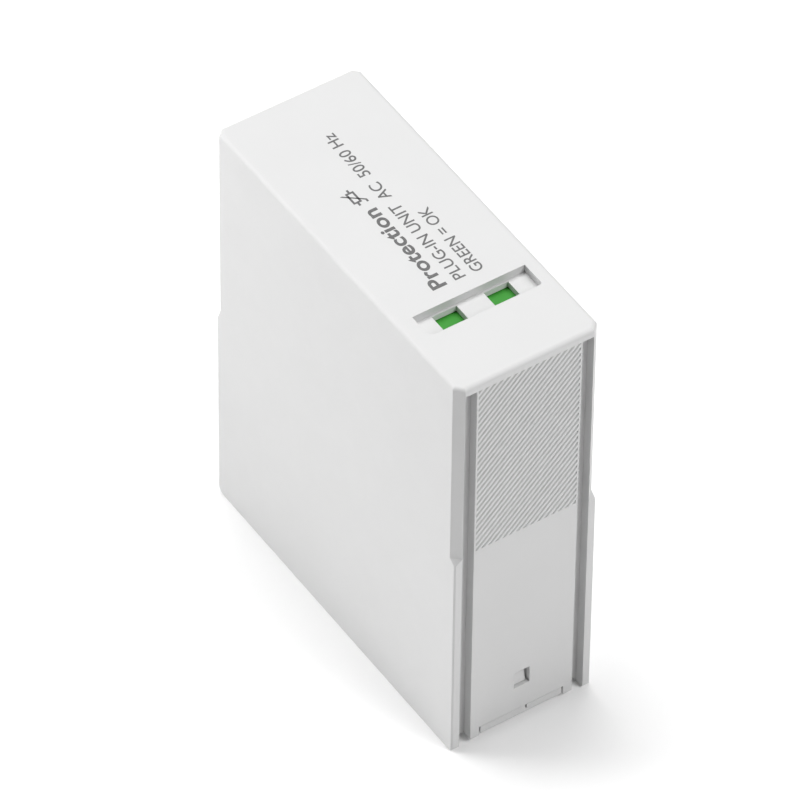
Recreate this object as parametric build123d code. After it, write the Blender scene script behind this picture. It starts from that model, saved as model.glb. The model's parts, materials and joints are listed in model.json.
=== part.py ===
from build123d import *
import math
import os

# Plug-in surge arrester module, one DIN module wide, in millimetres.
# X runs across the width, +Z points to the front face, and the origin is the centre of the bottom rim.
# The end with the status windows is at -Y. Side a is at -X, side b at +X.

# Driving dimensions
MODULE_WIDTH = 17.5
FRONT_LENGTH = 45.0
HEIGHT = 53.9
WALL = 1.1
PANEL_WALL = 1.15
GROOVE_WALL = 0.95
TOP_WALL = 1.2
TOP_EDGE_RADIUS = 0.5
RIM_CORNER_RADIUS = {-1: 0.5, 1: 1.2}

# Upright corners of the hood: a wide chamfer above and a narrow one below, joined by a slope
WIDE_CHAMFER = {-1: 0.92, 1: 0.7}
NARROW_CHAMFER = 0.15
SLOPE_Z = {-1: (28.4, 29.0), 1: (26.5, 27.8)}

# Grooves that guide the module into its base, and the finger grip between them
GROOVE_INNER = 6.4
GROOVE_WIDTH = 1.4
GROOVE_DEPTH = 1.2
LIP_HEIGHT = 1.07
PANEL_FOOT = 0.55
GROOVE_FOOT = 0.65
RIB_HALF_WIDTH = 6.2
RIB_BOTTOM = 29.3
RIB_PITCH = 0.61
RIB_GROOVE_WIDTH = 0.32
RIB_GROOVE_APEX = 0.13
RIB_DEPTH = 0.3
RIB_ANGLE = 45.0
RIB_START = 0.107
RIB_SLIVER = 0.001

# Status windows in the cross recess
RECESS_HALF_LENGTH = 6.85
RECESS_OFFSET = 0.2
RECESS_Y = (-14.25, -11.05)
RECESS_DEPTH = 1.0
RECESS_FLOOR = 0.75
RECESS_CORNERS = {-1: 0.9, 1: 0.3}
WINDOW_X = 3.15
WINDOW_WIDTH = 3.0
WINDOW_Y = (-13.95, -11.3)

# Latch windows, one in each end panel
LATCH_HALF_WIDTH = 0.975
LATCH_Z = (5.2, 7.55)

# Base plate
PLATE_Z = (9.0, 10.4)
SKIRT_HALF_WIDTH = 5.2
SKIRT_THICKNESS = 1.2
FLANGE_Z = (0.8, 1.75)
FLANGE_HALF_WIDTH = 5.1
FLANGE_NOTCH_X = (0.52, 0.74)
FLANGE_NOTCH_Z = (1.25, 1.75)
FLANGE_NOTCH_DEPTH = 0.35
HOOK_X = (-0.9, 0.7)
HOOK_NOSE_DEPTH = (0.38, 0.8)
HOOK_SLOT_X = 1.75
SLOT_WIDTH = 0.4
FIT_GAP = 0.05
ASSEMBLY_GAP = 0.1

# Plug-in contacts and coding pins
BLADE_Y = 12.0
BLADE_WIDTH = 8.0
BLADE_THICKNESS = 1.0
BLADE_TIP_Z = 1.0
BLADE_BEVEL = 0.35
CODING_PIN_Y = 3.5
CODING_PIN_RADIUS = 1.0
CODING_PIN_TIP_Z = 4.0
CODING_PIN_TIP_RADIUS = 0.3
CODING_PIN_FLAT = 0.6
CODING_STEM_RADIUS = 0.7

# Carrier and varistors
WEB_HALF_THICKNESS = 0.6
WEB_HALF_LENGTH = 17.4
END_RIB = 0.5
CARRIER_HALF_WIDTH = 7.4
SHELF_Z = (11.95, 12.7)
DECK_Z = (45.0, 46.0)
FOOT_HALF_LENGTH = 6.0
VARISTOR_LENGTH = 33.0
VARISTOR_HEIGHT = 31.8
VARISTOR_THICKNESS = 4.2
VARISTOR_CORNER = 3.0
ELECTRODE_THICKNESS = 0.5
ELECTRODE_LENGTH = 28.0
ELECTRODE_HEIGHT = 26.0
INNER_ELECTRODE_X = 0.8
INSULATOR_X = 6.6
INSULATOR_THICKNESS = 0.25
BUS_THICKNESS = 0.8
LINE_BUS_HALF_WIDTH = 3.0
LINE_BUS_Y = -19.2

# Status mechanism on the deck
FLAG_WIDTH = 4.4
FLAG_Y = (-14.9, -10.7)
FLAG_CLEARANCE = 0.1
SLIDER_THICKNESS = 0.9
STEM_WIDTH = 3.0
STEM_END_Y = 5.0
LUG_Y = (2.0, 5.0)
LUG_THICKNESS = 0.55
LUG_BOTTOM_Z = 47.4
INDICATOR_HALF_WIDTH = 5.6
INDICATOR_THICKNESS = 0.5
INDICATOR_GAP = 0.2
INDICATOR_LEG = 0.8
INDICATOR_LEG_INSET = 1.0
RIB_GUIDE_Y = (-9.6, 15.0)
ARM_X = 1.9
ARM_THICKNESS = 0.6
ARM_PIVOT_Y = -13.0
ARM_TIP_Y = 13.0
ARM_Z = (46.8, 49.8)
ARM_EYE_RADIUS = 1.1
PIN_RADIUS = 0.5
PIN_TOP_Z = 50.1
TAB_Y = (9.5, 13.0)
SOLDER_INSET = 0.4
SPRING_RADIUS = 0.75
SPRING_WIRE = 0.25
SPRING_Z = 51.0
POST_Y = 17.0
POST_RADIUS = 0.6

# Places worked out from the driving dimensions
HALF_W = MODULE_WIDTH / 2
HALF_L = FRONT_LENGTH / 2
CAVITY_HALF_W = HALF_W - WALL
GROOVE_OUTER = GROOVE_INNER + GROOVE_WIDTH
END_WALL_INNER = HALF_L - GROOVE_DEPTH - GROOVE_WALL
PANEL_INNER = HALF_L - PANEL_WALL
CAVITY_TOP = HEIGHT - TOP_WALL
RECESS_UNDERSIDE = HEIGHT - RECESS_DEPTH - RECESS_FLOOR
FLAG_TOP = RECESS_UNDERSIDE - FLAG_CLEARANCE
FLAG_BOTTOM = FLAG_TOP - SLIDER_THICKNESS
VARISTOR_BOTTOM = SHELF_Z[1] + ASSEMBLY_GAP
VARISTOR_INNER_X = INNER_ELECTRODE_X + ELECTRODE_THICKNESS + FIT_GAP
OUTER_ELECTRODE_X = VARISTOR_INNER_X + VARISTOR_THICKNESS + FIT_GAP
BUS_BOTTOM = PLATE_Z[1] + FIT_GAP
BUS_TOP = BUS_BOTTOM + BUS_THICKNESS

# How far a cutting body reaches past the surface it cuts
CUT_MARGIN = 1.0

SIDES = {"a": -1, "b": 1}
ENDS = (-1, 1)


def block(x, y, z):
    """A box between two x values, two y values and two z values, each pair in any order."""
    size = [abs(pair[1] - pair[0]) for pair in (x, y, z)]
    centre = [(pair[1] + pair[0]) / 2 for pair in (x, y, z)]
    return Pos(*centre) * Box(*size)


def mirrored_block(side, x, y, z):
    """A box at x values given for side b, moved to the side that is asked for."""
    return block((side * x[0], side * x[1]), y, z)


def upright_cylinder(x, y, z, radius):
    return Pos(x, y, z[0]) * Cylinder(radius, z[1] - z[0], align=(Align.CENTER, Align.CENTER, Align.MIN))


def export(node, shape):
    solids = shape.solids()
    shape = solids[0] if len(solids) == 1 else Compound(children=list(solids))
    shape.label = node
    export_step(shape, os.path.join("parts", node + ".step"))


def corner_cut(side, end):
    """What is taken off one upright corner of the hood, drawn across the corner."""
    low, high = SLOPE_Z[end]
    narrow, wide = NARROW_CHAMFER / math.sqrt(2), WIDE_CHAMFER[end] / math.sqrt(2)
    profile = Polyline(
        (-CUT_MARGIN, -CUT_MARGIN),
        (narrow, -CUT_MARGIN),
        (narrow, low),
        (wide, high),
        (wide, HEIGHT + CUT_MARGIN),
        (-CUT_MARGIN, HEIGHT + CUT_MARGIN),
        close=True,
    )
    cut = extrude(Plane.XZ * make_face(profile), 2 * CUT_MARGIN, both=True)
    inwards = math.degrees(math.atan2(-end, -side))
    return Pos(side * HALF_W, end * HALF_L, 0) * Rot(0, 0, inwards) * cut


def hood_shell():
    """The outer block, with its rim rounded at both ends, its corners cut and its top edges rounded."""
    shell = block((-HALF_W, HALF_W), (-HALF_L, HALF_L), (0, HEIGHT))
    for end in ENDS:
        edge = shell.edges().filter_by(Axis.X).sort_by(Axis.Z)[:2].sort_by(Axis.Y)[0 if end < 0 else 1]
        shell = fillet(edge, RIM_CORNER_RADIUS[end])
    for end in ENDS:
        for side in SIDES.values():
            shell -= corner_cut(side, end)
    return fillet(shell.faces().sort_by(Axis.Z)[-1].edges(), TOP_EDGE_RADIUS)


def rib_grooves():
    """Diagonal grooves of the near finger grip, rising towards +X as seen from in front of it."""
    top = HEIGHT - LIP_HEIGHT
    centre_z = (RIB_BOTTOM + top) / 2
    reach = (RIB_HALF_WIDTH + (top - RIB_BOTTOM) / 2) * math.sqrt(2)
    grip_x = (-RIB_HALF_WIDTH, RIB_HALF_WIDTH)
    patch = block(grip_x, (-HALF_L - CUT_MARGIN, -HALF_L + RIB_DEPTH), (RIB_BOTTOM, top))
    profile = Polyline(
        (0, -CUT_MARGIN),
        (0, 0),
        (RIB_GROOVE_APEX, RIB_DEPTH),
        (RIB_GROOVE_WIDTH, 0),
        (RIB_GROOVE_WIDTH, -CUT_MARGIN),
        close=True,
    )
    groove = extrude(Plane.XY * make_face(profile), reach, both=True)
    count = math.ceil(reach / RIB_PITCH)
    solids = []
    for i in range(-count, count + 1):
        place = Pos(0, -HALF_L, centre_z) * Rot(0, RIB_ANGLE, 0) * Pos(i * RIB_PITCH + RIB_START, 0, 0)
        piece = place * groove & patch
        solids += [solid for solid in piece.solids() if solid.volume > RIB_SLIVER]
    return Compound(children=solids)


def front_recess():
    """The shallow cross recess in the front face, with its windows, a little to side b of the middle."""
    recess_z = (HEIGHT - RECESS_DEPTH, HEIGHT + CUT_MARGIN)
    recess = block((-RECESS_HALF_LENGTH, RECESS_HALF_LENGTH), RECESS_Y, recess_z)
    for side, radius in RECESS_CORNERS.items():
        near = recess.edges().filter_by(Axis.Z).group_by(Axis.Y)[0].sort_by(Axis.X)
        recess = fillet(near[0 if side < 0 else -1], radius)
    for side in SIDES.values():
        window_x = (side * WINDOW_X - WINDOW_WIDTH / 2, side * WINDOW_X + WINDOW_WIDTH / 2)
        recess += block(window_x, WINDOW_Y, (RECESS_UNDERSIDE - CUT_MARGIN, HEIGHT))
    return Pos(RECESS_OFFSET, 0, 0) * recess


def make_hood():
    hood = hood_shell()
    length = (-END_WALL_INNER, END_WALL_INNER)
    cavity = block((-CAVITY_HALF_W, CAVITY_HALF_W), length, (-CUT_MARGIN, CAVITY_TOP))
    tray = block((-HALF_W, HALF_W), (RECESS_Y[0] - WALL, RECESS_Y[1] + WALL), (RECESS_UNDERSIDE, HEIGHT))
    hood -= cavity - tray
    hood -= front_recess()
    pocket_half = SKIRT_HALF_WIDTH + ASSEMBLY_GAP
    for end in ENDS:
        inner, outer = end * (END_WALL_INNER - CUT_MARGIN), end * (HALF_L + CUT_MARGIN)
        hood -= block((-pocket_half, pocket_half), (inner, end * PANEL_INNER), (-CUT_MARGIN, DECK_Z[1]))
        hood -= block((-pocket_half, pocket_half), (inner, outer), (-CUT_MARGIN, FLANGE_Z[1] + FIT_GAP))
        hood -= block((-GROOVE_INNER, GROOVE_INNER), (inner, outer), (-CUT_MARGIN, PANEL_FOOT))
        hood -= block((-LATCH_HALF_WIDTH, LATCH_HALF_WIDTH), (inner, outer), LATCH_Z)
        for side in SIDES.values():
            groove_x = (GROOVE_INNER, GROOVE_OUTER)
            groove_y = (end * (HALF_L - GROOVE_DEPTH), outer)
            hood -= mirrored_block(side, groove_x, groove_y, (-CUT_MARGIN, HEIGHT - LIP_HEIGHT))
            floor_x = (GROOVE_INNER, CAVITY_HALF_W)
            hood -= mirrored_block(side, floor_x, (inner, outer), (-CUT_MARGIN, GROOVE_FOOT))
    grip = rib_grooves()
    hood -= grip
    return hood - Rot(0, 0, 180) * grip


def snap_hook(end):
    """A tongue on the skirt whose nose stands in the latch window, ramped on top and square below."""
    face = PANEL_INNER - ASSEMBLY_GAP
    nose_bottom, nose_top = (HALF_L - depth for depth in HOOK_NOSE_DEPTH)
    low, high = LATCH_Z[0] + ASSEMBLY_GAP, LATCH_Z[1] - ASSEMBLY_GAP
    profile = Polyline(
        (end * face, low),
        (end * nose_bottom, low),
        (end * nose_top, high),
        (end * face, high),
        close=True,
    )
    width = HOOK_X[1] - HOOK_X[0]
    return Pos(HOOK_X[0], 0, 0) * extrude(Plane.YZ * make_face(profile), width)


def make_base_plate():
    half_x = CAVITY_HALF_W - ASSEMBLY_GAP
    half_y = END_WALL_INNER - ASSEMBLY_GAP
    plate = block((-half_x, half_x), (-half_y, half_y), PLATE_Z)
    skirt_outer = PANEL_INNER - ASSEMBLY_GAP
    skirt_inner = skirt_outer - SKIRT_THICKNESS
    skirt_x = (-SKIRT_HALF_WIDTH, SKIRT_HALF_WIDTH)
    flange_x = (-FLANGE_HALF_WIDTH, FLANGE_HALF_WIDTH)
    slot_half = BLADE_THICKNESS / 2 + FIT_GAP
    slot_reach = BLADE_WIDTH / 2 + FIT_GAP
    through = (PLATE_Z[0] - CUT_MARGIN, PLATE_Z[1] + CUT_MARGIN)
    for end in ENDS:
        plate += block(skirt_x, (end * skirt_inner, end * skirt_outer), (FLANGE_Z[0], PLATE_Z[1]))
        plate += block(flange_x, (end * skirt_inner, end * HALF_L), FLANGE_Z)
        plate += snap_hook(end)
        notch_y = (end * (HALF_L - FLANGE_NOTCH_DEPTH), end * (HALF_L + CUT_MARGIN))
        plate -= block(FLANGE_NOTCH_X, notch_y, FLANGE_NOTCH_Z)
        for side in SIDES.values():
            slot_x = (side * HOOK_SLOT_X, side * (HOOK_SLOT_X + SLOT_WIDTH))
            slot_z = (FLANGE_Z[1] + SLOT_WIDTH, PLATE_Z[0] - SLOT_WIDTH)
            slot_y = (end * (skirt_inner - CUT_MARGIN), end * (skirt_outer + CUT_MARGIN))
            plate -= block(slot_x, slot_y, slot_z)
        blade_y = (end * BLADE_Y - slot_reach, end * BLADE_Y + slot_reach)
        plate -= block((-slot_half, slot_half), blade_y, through)
        plate -= upright_cylinder(0, end * CODING_PIN_Y, PLATE_Z, CODING_STEM_RADIUS + FIT_GAP)
    return plate


def make_blade(end):
    """A knife contact standing in the floor of the base plate, bevelled at its tip."""
    y = (end * BLADE_Y - BLADE_WIDTH / 2, end * BLADE_Y + BLADE_WIDTH / 2)
    blade = block((-BLADE_THICKNESS / 2, BLADE_THICKNESS / 2), y, (BLADE_TIP_Z, BUS_BOTTOM))
    tip = blade.faces().sort_by(Axis.Z)[0].edges()
    return chamfer(tip, BLADE_BEVEL)


def make_coding_pin(end):
    """A coding pin with a flat on one side and a stem through the floor of the base plate."""
    y = end * CODING_PIN_Y
    pin = upright_cylinder(0, y, (CODING_PIN_TIP_Z, PLATE_Z[0]), CODING_PIN_RADIUS)
    pin = fillet(pin.edges().sort_by(Axis.Z)[0], CODING_PIN_TIP_RADIUS)
    flat_y = (y - CODING_PIN_RADIUS - CUT_MARGIN, y + CODING_PIN_RADIUS + CUT_MARGIN)
    flat_z = (CODING_PIN_TIP_Z - CUT_MARGIN, PLATE_Z[0] - CUT_MARGIN)
    pin -= block((CODING_PIN_FLAT, CODING_PIN_FLAT + CUT_MARGIN), flat_y, flat_z)
    return pin + upright_cylinder(0, y, PLATE_Z, CODING_STEM_RADIUS)


def make_line_bus():
    """A C-shaped copper strip from the line blade round the near end of the web to the arm pins."""
    x = (-LINE_BUS_HALF_WIDTH, LINE_BUS_HALF_WIDTH)
    head_top = ARM_Z[0] - FIT_GAP
    head_bottom = DECK_Z[1] + FIT_GAP
    foot = block(x, (LINE_BUS_Y, -BLADE_Y + BLADE_WIDTH / 2), (BUS_BOTTOM, BUS_TOP))
    riser = block(x, (LINE_BUS_Y, LINE_BUS_Y + BUS_THICKNESS), (BUS_BOTTOM, head_top))
    head = block(x, (LINE_BUS_Y, ARM_PIVOT_Y + ARM_EYE_RADIUS), (head_bottom, head_top))
    bus = foot + riser + head
    for side in SIDES.values():
        bus -= upright_cylinder(side * ARM_X, ARM_PIVOT_Y, (head_bottom, head_top), PIN_RADIUS + FIT_GAP)
    return fillet(bus.edges().filter_by(Axis.X).group_by(Axis.Y)[0], BUS_THICKNESS)


def make_neutral_bus():
    """A copper bar across the floor on which both outer electrodes stand."""
    reach = OUTER_ELECTRODE_X + ELECTRODE_THICKNESS
    y = (BLADE_Y - BLADE_WIDTH / 2, BLADE_Y + BLADE_WIDTH / 2)
    return block((-reach, reach), y, (BUS_BOTTOM, BUS_TOP))


def make_carrier():
    half_web = WEB_HALF_THICKNESS
    width = (-CARRIER_HALF_WIDTH, CARRIER_HALF_WIDTH)
    length = (-WEB_HALF_LENGTH, WEB_HALF_LENGTH)
    shelf_half = OUTER_ELECTRODE_X - ASSEMBLY_GAP
    carrier = block((-half_web, half_web), length, (SHELF_Z[0], DECK_Z[1]))
    carrier += block((-half_web, half_web), (-FOOT_HALF_LENGTH, FOOT_HALF_LENGTH), (BUS_BOTTOM, SHELF_Z[0]))
    carrier += block((-shelf_half, shelf_half), length, SHELF_Z)
    carrier += block(width, length, DECK_Z)
    carrier += block((-half_web, half_web), RIB_GUIDE_Y, (DECK_Z[1], FLAG_TOP))
    for end in ENDS:
        rib_y = (end * WEB_HALF_LENGTH, end * (WEB_HALF_LENGTH - END_RIB))
        carrier += block(width, rib_y, (SHELF_Z[0], DECK_Z[1]))
    for side in SIDES.values():
        tab_x = (INNER_ELECTRODE_X - ASSEMBLY_GAP, INNER_ELECTRODE_X + ELECTRODE_THICKNESS + ASSEMBLY_GAP)
        tab_y = (TAB_Y[0] - ASSEMBLY_GAP, TAB_Y[1] + ASSEMBLY_GAP)
        carrier -= mirrored_block(side, tab_x, tab_y, DECK_Z)
        carrier -= upright_cylinder(side * ARM_X, ARM_PIVOT_Y, DECK_Z, PIN_RADIUS)
        post_z = (DECK_Z[0], SPRING_Z + SPRING_RADIUS)
        carrier += upright_cylinder(side * WINDOW_X, POST_Y, post_z, POST_RADIUS)
    return carrier


def make_red_indicator():
    """The red strip under both flags, on two legs."""
    top = FLAG_BOTTOM - INDICATOR_GAP
    strip = block((-INDICATOR_HALF_WIDTH, INDICATOR_HALF_WIDTH), FLAG_Y, (top - INDICATOR_THICKNESS, top))
    leg_y = (FLAG_Y[0] + INDICATOR_LEG_INSET, FLAG_Y[1] - INDICATOR_LEG_INSET)
    for side in SIDES.values():
        leg_x = (INDICATOR_HALF_WIDTH, INDICATOR_HALF_WIDTH + INDICATOR_LEG)
        strip += mirrored_block(side, leg_x, leg_y, (DECK_Z[1], top))
    return strip


def make_slider(side):
    """The green flag, its stem along the deck and the lug that pushes the contact arm aside."""
    flag_x = (WINDOW_X - FLAG_WIDTH / 2, WINDOW_X + FLAG_WIDTH / 2)
    stem_x = (WINDOW_X - STEM_WIDTH / 2, WINDOW_X + STEM_WIDTH / 2)
    lug_x = (INNER_ELECTRODE_X, INNER_ELECTRODE_X + LUG_THICKNESS)
    slider = mirrored_block(side, flag_x, FLAG_Y, (FLAG_BOTTOM, FLAG_TOP))
    slider += mirrored_block(side, stem_x, (FLAG_Y[1], STEM_END_Y), (FLAG_BOTTOM, FLAG_TOP))
    slider += mirrored_block(side, (lug_x[0], stem_x[0]), LUG_Y, (FLAG_BOTTOM, FLAG_TOP))
    slider += mirrored_block(side, lug_x, LUG_Y, (LUG_BOTTOM_Z, FLAG_TOP))
    return slider


def make_contact_arm(side):
    """A sprung copper strip on edge, with an eye round its pin."""
    arm_x = (ARM_X - ARM_THICKNESS / 2, ARM_X + ARM_THICKNESS / 2)
    arm = mirrored_block(side, arm_x, (ARM_PIVOT_Y, ARM_TIP_Y), ARM_Z)
    arm += upright_cylinder(side * ARM_X, ARM_PIVOT_Y, ARM_Z, ARM_EYE_RADIUS)
    return arm - upright_cylinder(side * ARM_X, ARM_PIVOT_Y, ARM_Z, PIN_RADIUS + FIT_GAP)


def make_solder_joint(side):
    x = (INNER_ELECTRODE_X + ELECTRODE_THICKNESS, ARM_X - ARM_THICKNESS / 2)
    y = (TAB_Y[0] + SOLDER_INSET, TAB_Y[1] - SOLDER_INSET)
    return mirrored_block(side, x, y, (ARM_Z[0] + SOLDER_INSET, ARM_Z[1] - SOLDER_INSET))


def make_spring(side):
    """The envelope of the tension spring between the slider and its post."""
    y = (STEM_END_Y, POST_Y - POST_RADIUS)
    place = Pos(side * WINDOW_X, y[0], SPRING_Z) * Rot(-90, 0, 0)
    align = (Align.CENTER, Align.CENTER, Align.MIN)
    tube = Cylinder(SPRING_RADIUS, y[1] - y[0], align=align)
    tube -= Cylinder(SPRING_RADIUS - SPRING_WIRE, y[1] - y[0], align=align)
    return place * tube


def make_varistor(side):
    """A square varistor block in an epoxy coat, rounded at its corners."""
    x = (VARISTOR_INNER_X, VARISTOR_INNER_X + VARISTOR_THICKNESS)
    y = (-VARISTOR_LENGTH / 2, VARISTOR_LENGTH / 2)
    body = mirrored_block(side, x, y, (VARISTOR_BOTTOM, VARISTOR_BOTTOM + VARISTOR_HEIGHT))
    return fillet(body.edges().filter_by(Axis.X), VARISTOR_CORNER)


def make_inner_electrode(side):
    """The plate against the web, with a tab up through the deck to the solder point."""
    x = (INNER_ELECTRODE_X, INNER_ELECTRODE_X + ELECTRODE_THICKNESS)
    middle = VARISTOR_BOTTOM + VARISTOR_HEIGHT / 2
    z = (middle - ELECTRODE_HEIGHT / 2, middle + ELECTRODE_HEIGHT / 2)
    plate = mirrored_block(side, x, (-ELECTRODE_LENGTH / 2, ELECTRODE_LENGTH / 2), z)
    return plate + mirrored_block(side, x, TAB_Y, (z[1], ARM_Z[1]))


def make_outer_electrode(side):
    """The plate on the outside of the varistor, with a foot down to the neutral bus."""
    x = (OUTER_ELECTRODE_X, OUTER_ELECTRODE_X + ELECTRODE_THICKNESS)
    middle = VARISTOR_BOTTOM + VARISTOR_HEIGHT / 2
    z = (middle - ELECTRODE_HEIGHT / 2, middle + ELECTRODE_HEIGHT / 2)
    plate = mirrored_block(side, x, (-ELECTRODE_LENGTH / 2, ELECTRODE_LENGTH / 2), z)
    return plate + mirrored_block(side, x, TAB_Y, (BUS_TOP, z[0]))


def make_insulator(side):
    x = (INSULATOR_X, INSULATOR_X + INSULATOR_THICKNESS)
    y = (-VARISTOR_LENGTH / 2, VARISTOR_LENGTH / 2)
    return mirrored_block(side, x, y, (BUS_TOP, DECK_Z[0] - ASSEMBLY_GAP))


def make_arm_pin(side):
    return upright_cylinder(side * ARM_X, ARM_PIVOT_Y, (DECK_Z[0], PIN_TOP_Z), PIN_RADIUS)


os.makedirs("parts", exist_ok=True)
export("hood", make_hood())
export("base_plate", make_base_plate())
export("carrier", make_carrier())
export("red_indicator", make_red_indicator())
export("line_bus", make_line_bus())
export("neutral_bus", make_neutral_bus())
export("blade_line", make_blade(-1))
export("blade_neutral", make_blade(1))
export("coding_pin_a", make_coding_pin(-1))
export("coding_pin_b", make_coding_pin(1))
for name, side in SIDES.items():
    export("slider_" + name, make_slider(side))
    export("slider_spring_" + name, make_spring(side))
    export("contact_arm_" + name, make_contact_arm(side))
    export("arm_pin_" + name, make_arm_pin(side))
    export("solder_joint_" + name, make_solder_joint(side))
    export("inner_electrode_" + name, make_inner_electrode(side))
    export("varistor_" + name, make_varistor(side))
    export("outer_electrode_" + name, make_outer_electrode(side))
    export("insulator_" + name, make_insulator(side))
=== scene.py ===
import json
import math

import bmesh
import bpy
from mathutils import Matrix, Vector


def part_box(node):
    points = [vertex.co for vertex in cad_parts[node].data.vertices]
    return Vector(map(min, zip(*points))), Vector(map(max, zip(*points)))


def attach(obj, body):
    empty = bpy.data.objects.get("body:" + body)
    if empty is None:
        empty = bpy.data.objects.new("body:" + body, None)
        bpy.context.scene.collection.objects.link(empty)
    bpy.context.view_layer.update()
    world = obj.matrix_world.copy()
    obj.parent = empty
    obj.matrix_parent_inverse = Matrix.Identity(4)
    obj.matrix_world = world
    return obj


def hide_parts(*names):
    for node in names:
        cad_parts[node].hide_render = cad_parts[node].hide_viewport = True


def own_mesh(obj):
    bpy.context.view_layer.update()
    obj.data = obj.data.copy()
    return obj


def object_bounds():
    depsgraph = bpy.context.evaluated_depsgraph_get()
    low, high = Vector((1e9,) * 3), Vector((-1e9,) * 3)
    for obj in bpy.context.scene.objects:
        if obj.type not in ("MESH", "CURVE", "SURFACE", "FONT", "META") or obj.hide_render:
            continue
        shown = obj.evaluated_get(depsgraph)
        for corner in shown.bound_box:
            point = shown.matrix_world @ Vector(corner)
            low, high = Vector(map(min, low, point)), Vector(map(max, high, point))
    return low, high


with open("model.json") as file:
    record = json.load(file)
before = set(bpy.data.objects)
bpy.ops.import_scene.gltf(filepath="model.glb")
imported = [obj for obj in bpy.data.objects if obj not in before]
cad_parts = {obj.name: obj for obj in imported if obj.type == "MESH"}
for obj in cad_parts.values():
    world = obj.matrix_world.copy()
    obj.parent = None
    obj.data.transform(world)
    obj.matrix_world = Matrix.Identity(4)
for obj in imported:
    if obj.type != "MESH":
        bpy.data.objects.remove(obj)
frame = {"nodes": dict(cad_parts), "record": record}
cad_low, cad_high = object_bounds()
MM = 0.001
SIDES = ("a", "b")

# Camera, as the product is seen: from above its near left corner, through a long lens
AZIMUTH = math.radians(-33.98)
ELEVATION = math.radians(46.08)
ROLL = math.radians(0.685)
DISTANCE = 0.9457
LENS_MM = 400.6
AIM_RIGHT, AIM_UP = -0.235 * MM, 19.75 * MM
SENSOR_WIDTH_MM = 36.0
CLIP_START, CLIP_END = 0.05, 20.0


# ---------------------------------------------------------------- materials
# Depths of the surface patterns, the radius of the dip coat's edges and the samples of a bevelled edge
GRAIN_DEPTH_MM = 0.003
ROLLING_DEPTH_MM = 0.002
SAG_DEPTH_MM = 0.25
PEEL_DEPTH_MM = 0.02
FIBRE_DEPTH_MM = 0.01
DIP_EDGE_MM = 0.5
BEVEL_SAMPLES = 6


def new_material(name):
    material = bpy.data.materials.new(name)
    material.use_nodes = True
    tree = material.node_tree
    return material, tree, tree.nodes["Principled BSDF"]


def millimetre_space(tree):
    """Object coordinates in millimetres, so that every pattern has a real scale."""
    coordinates = tree.nodes.new("ShaderNodeTexCoord")
    scale = tree.nodes.new("ShaderNodeVectorMath")
    scale.operation = "SCALE"
    scale.inputs["Scale"].default_value = 1 / MM
    tree.links.new(coordinates.outputs["Object"], scale.inputs[0])
    return scale.outputs["Vector"]


def noise(tree, space, size_mm, detail=3.0, roughness=0.55):
    """A noise field whose lumps are about size_mm across."""
    node = tree.nodes.new("ShaderNodeTexNoise")
    node.inputs["Scale"].default_value = 1 / size_mm
    node.inputs["Detail"].default_value = detail
    node.inputs["Roughness"].default_value = roughness
    tree.links.new(space, node.inputs["Vector"])
    return node.outputs["Fac"]


def ramp(tree, value, low, high, start=0.3, stop=0.7):
    """value carried from start..stop to low..high, numbers or colours."""
    node = tree.nodes.new("ShaderNodeMapRange" if isinstance(low, float) else "ShaderNodeValToRGB")
    if isinstance(low, float):
        for socket, number in (("From Min", start), ("From Max", stop), ("To Min", low), ("To Max", high)):
            node.inputs[socket].default_value = number
        tree.links.new(value, node.inputs["Value"])
        return node.outputs["Result"]
    first, last = node.color_ramp.elements
    first.position, first.color = start, (*low, 1)
    last.position, last.color = stop, (*high, 1)
    tree.links.new(value, node.inputs["Fac"])
    return node.outputs["Color"]


def shade(colour, factor):
    return tuple(min(1.0, channel * factor) for channel in colour)


def soft_edges(tree, radius_mm):
    """The small radius that a moulding or stamping has on every edge."""
    bevel = tree.nodes.new("ShaderNodeBevel")
    bevel.samples = BEVEL_SAMPLES
    bevel.inputs["Radius"].default_value = radius_mm * MM
    return bevel.outputs["Normal"]


def bump(tree, height, depth_mm, normal=None):
    node = tree.nodes.new("ShaderNodeBump")
    node.inputs["Strength"].default_value = 1.0
    node.inputs["Distance"].default_value = depth_mm * MM
    tree.links.new(height, node.inputs["Height"])
    if normal is not None:
        tree.links.new(normal, node.inputs["Normal"])
    return node.outputs["Normal"]


def moulded_plastic(name, colour, roughness=0.5, tone=0.02, grain_mm=0.12, edge_mm=0.12):
    """Injection-moulded plastic: spark-eroded grain, slow tone changes and slightly uneven gloss."""
    material, tree, shader = new_material(name)
    space = millimetre_space(tree)
    slow = noise(tree, space, size_mm=9.0, detail=4.0)
    tint = ramp(tree, slow, shade(colour, 1 - tone), shade(colour, 1 + tone))
    tree.links.new(tint, shader.inputs["Base Color"])
    gloss = noise(tree, space, size_mm=2.5)
    tree.links.new(ramp(tree, gloss, roughness - 0.05, roughness + 0.05), shader.inputs["Roughness"])
    grain = noise(tree, space, grain_mm, detail=2.0, roughness=0.7)
    surface = bump(tree, grain, GRAIN_DEPTH_MM, soft_edges(tree, edge_mm))
    tree.links.new(surface, shader.inputs["Normal"])
    shader.inputs["Specular IOR Level"].default_value = 0.4
    return material


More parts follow.
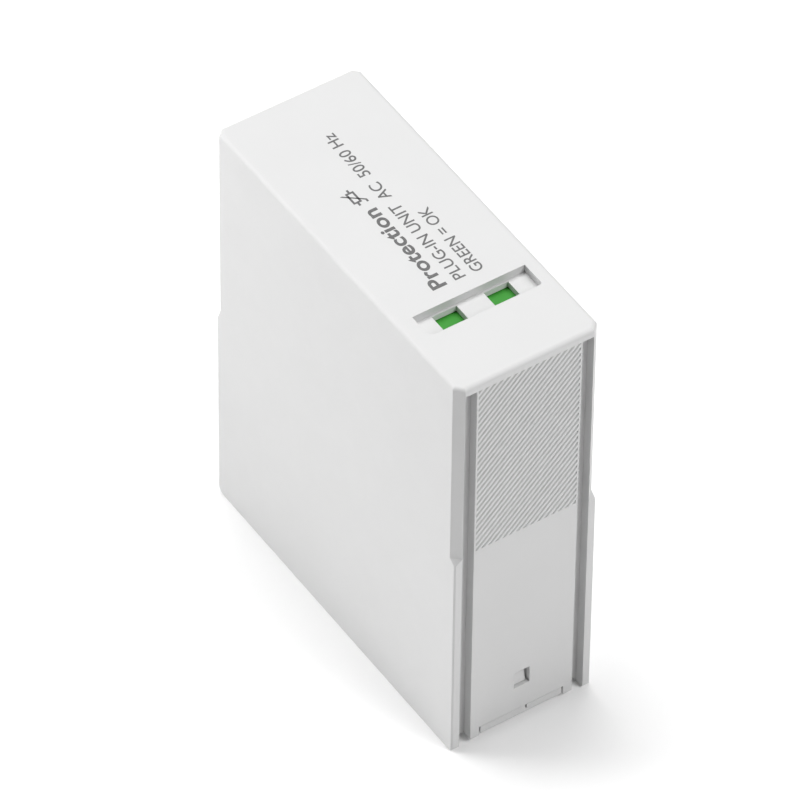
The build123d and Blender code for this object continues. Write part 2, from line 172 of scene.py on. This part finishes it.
def strip_metal(name, colour, roughness=0.3, stretch=(1, 12, 1), tarnish=0.12, edge_mm=0.05):
    """Rolled and stamped strip: fine rolling lines along it and a patchy bloom."""
    material, tree, shader = new_material(name)
    space = millimetre_space(tree)
    mapping = tree.nodes.new("ShaderNodeMapping")
    mapping.inputs["Scale"].default_value = tuple(1 / s for s in stretch)
    tree.links.new(space, mapping.inputs["Vector"])
    lines = noise(tree, mapping.outputs["Vector"], size_mm=0.12, detail=4.0, roughness=0.7)
    bloom = noise(tree, space, size_mm=1.8, detail=5.0)
    tint = ramp(tree, bloom, shade(colour, 1 - tarnish), colour)
    tree.links.new(tint, shader.inputs["Base Color"])
    tree.links.new(ramp(tree, lines, roughness - 0.08, roughness + 0.1), shader.inputs["Roughness"])
    surface = bump(tree, lines, ROLLING_DEPTH_MM, soft_edges(tree, edge_mm))
    tree.links.new(surface, shader.inputs["Normal"])
    shader.inputs["Metallic"].default_value = 1.0
    return material


def dipped_coat(name, colour):
    """Epoxy dip coat: glossy, with the slow sag and orange peel of a dipped skin."""
    material, tree, shader = new_material(name)
    space = millimetre_space(tree)
    sag = noise(tree, space, size_mm=5.0, detail=2.0)
    peel = noise(tree, space, size_mm=0.6, detail=3.0)
    tree.links.new(ramp(tree, sag, shade(colour, 0.85), shade(colour, 1.12)), shader.inputs["Base Color"])
    tree.links.new(ramp(tree, peel, 0.16, 0.34), shader.inputs["Roughness"])
    lumps = bump(tree, sag, SAG_DEPTH_MM, soft_edges(tree, DIP_EDGE_MM))
    tree.links.new(bump(tree, peel, PEEL_DEPTH_MM, lumps), shader.inputs["Normal"])
    shader.inputs["Coat Weight"].default_value = 0.4
    shader.inputs["Coat Roughness"].default_value = 0.12
    return material


def printed_ink(name, colour):
    """Pad-printed ink: slightly thin in places, a little glossier than the plastic under it."""
    material, tree, shader = new_material(name)
    space = millimetre_space(tree)
    cover = noise(tree, space, size_mm=0.35, detail=3.0)
    tree.links.new(ramp(tree, cover, shade(colour, 0.85), shade(colour, 1.25)), shader.inputs["Base Color"])
    tree.links.new(ramp(tree, cover, 0.42, 0.58), shader.inputs["Roughness"])
    return material


def studio_floor(name, colour, glow):
    """Seamless white studio paper, with a faint fibre and enough light of its own to stay white."""
    material, tree, shader = new_material(name)
    space = millimetre_space(tree)
    fibre = noise(tree, space, size_mm=3.0, detail=4.0)
    tree.links.new(ramp(tree, fibre, shade(colour, 0.997), colour), shader.inputs["Base Color"])
    tree.links.new(bump(tree, fibre, FIBRE_DEPTH_MM), shader.inputs["Normal"])
    shader.inputs["Roughness"].default_value = 0.9
    shader.inputs["Specular IOR Level"].default_value = 0.1
    shader.inputs["Emission Color"].default_value = (1, 1, 1, 1)
    shader.inputs["Emission Strength"].default_value = glow
    return material


LIGHT_GREY = (0.62, 0.62, 0.62)
OFF_WHITE = (0.62, 0.60, 0.54)
FLAG_GREEN = (0.035, 0.27, 0.025)
FLAG_RED = (0.60, 0.03, 0.02)
NEAR_BLACK = (0.035, 0.035, 0.04)
COPPER = (0.83, 0.43, 0.27)
BRASS = (0.80, 0.60, 0.28)
TIN = (0.78, 0.78, 0.76)
SOLDER = (0.66, 0.66, 0.67)
STEEL = (0.55, 0.55, 0.56)
COAT_BLUE = (0.03, 0.10, 0.32)
FILM_YELLOW = (0.72, 0.66, 0.45)
INK_GREY = (0.115, 0.115, 0.115)

# How far a metal's rolling lines are drawn out along x, y and z
DRAWN_ALONG_Z = (1, 1, 10)
DRAWN_ACROSS_Z = (1, 1, 0.2)
NOT_DRAWN = (1, 1, 1)

# The function that makes each material, its colour and what differs from that function's defaults
RECIPES = {
    "hood_plastic": (moulded_plastic, LIGHT_GREY, {"roughness": 0.52, "tone": 0.008, "edge_mm": 0.06}),
    "carrier_plastic": (moulded_plastic, OFF_WHITE, {"roughness": 0.55, "tone": 0.03}),
    "green_plastic": (moulded_plastic, FLAG_GREEN, {"roughness": 0.38, "tone": 0.05, "edge_mm": 0.08}),
    "red_plastic": (moulded_plastic, FLAG_RED, {"roughness": 0.4, "tone": 0.05, "edge_mm": 0.08}),
    "dark_plastic": (moulded_plastic, NEAR_BLACK, {"roughness": 0.48, "tone": 0.1, "edge_mm": 0.1}),
    "copper": (strip_metal, COPPER, {"roughness": 0.32}),
    "brass": (strip_metal, BRASS, {"roughness": 0.25, "stretch": DRAWN_ACROSS_Z}),
    "tinned_copper": (strip_metal, TIN, {"roughness": 0.28, "stretch": DRAWN_ALONG_Z}),
    "solder": (strip_metal, SOLDER, {"roughness": 0.35, "stretch": NOT_DRAWN, "tarnish": 0.25}),
    "spring_steel": (strip_metal, STEEL, {"roughness": 0.22, "stretch": NOT_DRAWN}),
    "varistor_coat": (dipped_coat, COAT_BLUE, {}),
    "insulator_film": (moulded_plastic, FILM_YELLOW, {"roughness": 0.42, "tone": 0.04, "grain_mm": 0.3}),
    "print_ink": (printed_ink, INK_GREY, {}),
}
MATERIALS = {slot: make(slot, colour, **details) for slot, (make, colour, details) in RECIPES.items()}


def set_material(obj, slot):
    obj.data.materials.clear()
    obj.data.materials.append(MATERIALS[slot])


# ---------------------------------------------------------------- pieces
def curve_to_mesh(name, curve):
    """A mesh piece from a curve or text datablock."""
    holder = bpy.data.objects.new(name + "_curve", curve)
    bpy.context.scene.collection.objects.link(holder)
    bpy.context.view_layer.update()
    evaluated = holder.evaluated_get(bpy.context.evaluated_depsgraph_get())
    mesh = bpy.data.meshes.new_from_object(evaluated)
    mesh.name = name
    bpy.data.objects.remove(holder)
    piece = bpy.data.objects.new(name, mesh)
    bpy.context.scene.collection.objects.link(piece)
    return piece


INK_THICKNESS = 0.006 * MM
# Height of a capital as a share of the font's size
CAP_SHARE = 0.729


def place_on_front(mesh, baseline_x, start_y):
    """Turns flat lettering to read along +Y on the front face, its tops towards -X."""
    turn = Matrix.Rotation(math.pi / 2, 4, "Z")
    mesh.transform(Matrix.Translation((baseline_x, start_y, cad_high.z)) @ turn)


def print_line(name, words, baseline_x, start_y, length, cap_height, weight):
    """One line of print, set to its cap height and then spread to its length."""
    text = bpy.data.curves.new(name, "FONT")
    text.body = words
    text.size = cap_height / CAP_SHARE
    text.offset = weight
    text.space_character = 1.0 + weight / cap_height
    text.extrude = INK_THICKNESS / 2
    text.resolution_u = 6
    piece = curve_to_mesh(name, text)
    xs = [v.co.x for v in piece.data.vertices]
    fit = Matrix.Diagonal((length / (max(xs) - min(xs)), 1, 1, 1))
    piece.data.transform(fit @ Matrix.Translation((-min(xs), 0, 0)))
    place_on_front(piece.data, baseline_x, start_y)
    return finish_print(piece)


def finish_print(piece):
    set_material(piece, "print_ink")
    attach(piece, "housing")
    return piece


def outline_plate(bm, points):
    """A thin closed plate with this outline, in millimetres, standing on the ink plane."""
    half = INK_THICKNESS / 2
    lower = [bm.verts.new((x * MM, y * MM, -half)) for x, y in points]
    upper = [bm.verts.new((x * MM, y * MM, half)) for x, y in points]
    bm.faces.new(list(reversed(lower)))
    bm.faces.new(upper)
    for i in range(len(points)):
        j = (i + 1) % len(points)
        bm.faces.new((lower[i], lower[j], upper[j], upper[i]))


def rectangle(bm, x, y):
    """A thin plate between two x values and two y values, each pair in any order."""
    (x_low, x_high), (y_low, y_high) = sorted(x), sorted(y)
    outline_plate(bm, [(x_low, y_low), (x_high, y_low), (x_high, y_high), (x_low, y_high)])


# The varistor symbol, in millimetres
SYMBOL_LINE = 0.24
SYMBOL_HALF_LENGTH, SYMBOL_HALF_HEIGHT = 0.88, 0.5
SYMBOL_LEAD = 1.3
STROKE_REACH, STROKE_RISE = 0.8, 1.0
STROKE_FOOT = 0.4
STROKE_SKEW = 0.05


def varistor_symbol(name, centre_x, centre_y):
    """The general circuit symbol of a varistor: a box on a line, crossed by a cranked stroke."""
    line, half_line = SYMBOL_LINE, SYMBOL_LINE / 2
    half_length, half_height = SYMBOL_HALF_LENGTH, SYMBOL_HALF_HEIGHT
    bm = bmesh.new()
    for sign in (-1, 1):
        edge = sign * (half_height - half_line)
        end = sign * half_length
        rectangle(bm, (-half_length, half_length), (edge - half_line, edge + half_line))
        rectangle(bm, (sign * (half_length - line), end), (line - half_height, half_height - line))
        rectangle(bm, (sign * SYMBOL_LEAD, end), (-half_line, half_line))
    foot = -STROKE_REACH - STROKE_FOOT
    stroke = [
        (foot, -STROKE_RISE - half_line),
        (-STROKE_REACH, -STROKE_RISE - half_line),
        (STROKE_REACH, STROKE_RISE - half_line),
        (STROKE_REACH, STROKE_RISE + half_line),
        (STROKE_REACH - STROKE_SKEW, STROKE_RISE + half_line),
        (-STROKE_REACH - STROKE_SKEW, -STROKE_RISE + half_line),
        (foot, -STROKE_RISE + half_line),
    ]
    outline_plate(bm, stroke)
    mesh = bpy.data.meshes.new(name)
    bm.to_mesh(mesh)
    bm.free()
    piece = bpy.data.objects.new(name, mesh)
    bpy.context.scene.collection.objects.link(piece)
    place_on_front(mesh, centre_x, centre_y)
    return finish_print(piece)


# The print on the front face: where each baseline lies across the width, where each line starts
# along the face, how long it is and how tall its capitals are
SMALL_CAPITAL = 1.37 * MM
SMALL_WEIGHT = 0.015 * MM
TYPE_CAPITAL = 1.77 * MM
TYPE_WEIGHT = 0.06 * MM
PRINT_START_Y = -9.1 * MM
STATE_START_Y = -9.2 * MM
TYPE_X, SYSTEM_X, STATE_X = -1.11 * MM, 1.2 * MM, 3.39 * MM
TYPE_LENGTH, SYSTEM_LENGTH, STATE_LENGTH = 13.2 * MM, 24.7 * MM, 10.55 * MM
SYMBOL_X, SYMBOL_Y = -2.25 * MM, 6.45 * MM

print_line("print_type", "Protection", TYPE_X, PRINT_START_Y, TYPE_LENGTH, TYPE_CAPITAL, TYPE_WEIGHT)
varistor_symbol("print_symbol", SYMBOL_X, SYMBOL_Y)
print_line("print_system", "PLUG-IN UNIT  AC  50/60 Hz", SYSTEM_X, PRINT_START_Y, SYSTEM_LENGTH,
           SMALL_CAPITAL, SMALL_WEIGHT)
print_line("print_state", "GREEN = OK", STATE_X, STATE_START_Y, STATE_LENGTH, SMALL_CAPITAL, SMALL_WEIGHT)


# The tension springs: radius of the wire, length of each hook and the winding
SPRING_WIRE_RADIUS = 0.11 * MM
HOOK_LENGTH = 1.3 * MM
HOOK_TIP_SHARE = 0.4
TURNS = 15
STEPS_PER_TURN = 20


def tension_spring(side_name):
    """A close-wound tension spring with a hook at each end, in place of its envelope."""
    node = "slider_spring_" + side_name
    low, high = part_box(node)
    wire = SPRING_WIRE_RADIUS
    radius = (high.x - low.x) / 2 - wire
    tip = radius * HOOK_TIP_SHARE
    coil_start, coil_end = low.y + HOOK_LENGTH, high.y - HOOK_LENGTH
    steps = TURNS * STEPS_PER_TURN
    points = []
    for i in range(steps + 1):
        angle = 2 * math.pi * TURNS * i / steps
        along = coil_start + (coil_end - coil_start) * i / steps
        points.append((radius * math.cos(angle), along, radius * math.sin(angle)))
    start = [(tip, low.y + wire, 0), (radius, low.y + HOOK_LENGTH / 2, 0)]
    end = [(radius, high.y - HOOK_LENGTH / 2, 0), (tip, high.y - wire, 0)]
    path = start + points + end
    curve = bpy.data.curves.new(node + "_coil", "CURVE")
    curve.dimensions = "3D"
    curve.bevel_depth = wire
    curve.bevel_resolution = 3
    spline = curve.splines.new("POLY")
    spline.points.add(len(path) - 1)
    middle_x, middle_z = (low.x + high.x) / 2, (low.z + high.z) / 2
    for point, (x, y, z) in zip(spline.points, path):
        point.co = (middle_x + x, y, middle_z + z, 1)
    piece = curve_to_mesh(node + "_coil", curve)
    for polygon in piece.data.polygons:
        polygon.use_smooth = True
    set_material(piece, "spring_steel")
    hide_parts(node)
    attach(piece, "housing")
    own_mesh(piece)


for side_name in SIDES:
    tension_spring(side_name)

for row in frame["record"]["subparts"]:
    set_material(frame["nodes"][row["node"]], row["material_slot"])


# ---------------------------------------------------------------- studio
FLOOR_HALF_LENGTH = 3.0
FLOOR_GAP = 0.01 * MM
FLOOR_WHITE = (0.93, 0.93, 0.93)
FLOOR_GLOW = 0.05
WORLD_BRIGHTNESS = 0.05

# Each softbox: azimuth and elevation in degrees from +X, distance in metres, power in watts
SOFTBOXES = {
    "back_left_low": (135, 15, 0.4, 1.08),
    "back_left_high": (120, 72, 1.0, 4.4),
    "back_right_high": (60, 72, 1.0, 4.0),
    "front_high": (300, 45, 1.0, 6.03),
}


def add_floor():
    bm = bmesh.new()
    bmesh.ops.create_grid(bm, x_segments=1, y_segments=1, size=FLOOR_HALF_LENGTH)
    mesh = bpy.data.meshes.new("floor")
    bm.to_mesh(mesh)
    bm.free()
    floor = bpy.data.objects.new("floor", mesh)
    floor.location.z = cad_low.z - FLOOR_GAP
    floor.data.materials.append(studio_floor("studio_paper", FLOOR_WHITE, FLOOR_GLOW))
    bpy.context.scene.collection.objects.link(floor)


def add_softbox(name, azimuth, elevation, distance, power):
    """A square softbox, half as wide as it is far, turned to the middle of the object."""
    light = bpy.data.lights.new(name, "AREA")
    light.shape = "SQUARE"
    light.size = distance / 2
    light.energy = power
    softbox = bpy.data.objects.new(name, light)
    turn, rise = math.radians(azimuth), math.radians(elevation)
    towards = Vector((math.cos(turn) * math.cos(rise), math.sin(turn) * math.cos(rise), math.sin(rise)))
    softbox.location = (cad_low + cad_high) / 2 + towards * distance
    softbox.rotation_euler = towards.to_track_quat("Z", "Y").to_euler()
    softbox.visible_camera = False
    bpy.context.scene.collection.objects.link(softbox)


def add_world(brightness):
    world = bpy.data.worlds.new("studio")
    world.use_nodes = True
    background = world.node_tree.nodes["Background"]
    background.inputs["Color"].default_value = (1, 1, 1, 1)
    background.inputs["Strength"].default_value = brightness
    bpy.context.scene.world = world


def add_camera():
    back = Vector((math.sin(AZIMUTH) * math.cos(ELEVATION), -math.cos(AZIMUTH) * math.cos(ELEVATION),
                   math.sin(ELEVATION)))
    level = Vector((math.cos(AZIMUTH), math.sin(AZIMUTH), 0))
    upright = back.cross(level)
    right = math.cos(ROLL) * level + math.sin(ROLL) * upright
    up = math.cos(ROLL) * upright - math.sin(ROLL) * level
    data = bpy.data.cameras.new("camera")
    data.lens = LENS_MM
    data.sensor_width = SENSOR_WIDTH_MM
    data.clip_start, data.clip_end = CLIP_START, CLIP_END
    camera = bpy.data.objects.new("camera", data)
    place = right * AIM_RIGHT + up * AIM_UP + back * DISTANCE
    camera.matrix_world = Matrix.Translation(place) @ Matrix((right, up, back)).transposed().to_4x4()
    bpy.context.scene.collection.objects.link(camera)
    bpy.context.scene.camera = camera


add_floor()
add_world(WORLD_BRIGHTNESS)
for softbox_name, (azimuth, elevation, distance, power) in SOFTBOXES.items():
    add_softbox(softbox_name, azimuth, elevation, distance, power)
add_camera()
bpy.context.scene.view_settings.view_transform = "Standard"
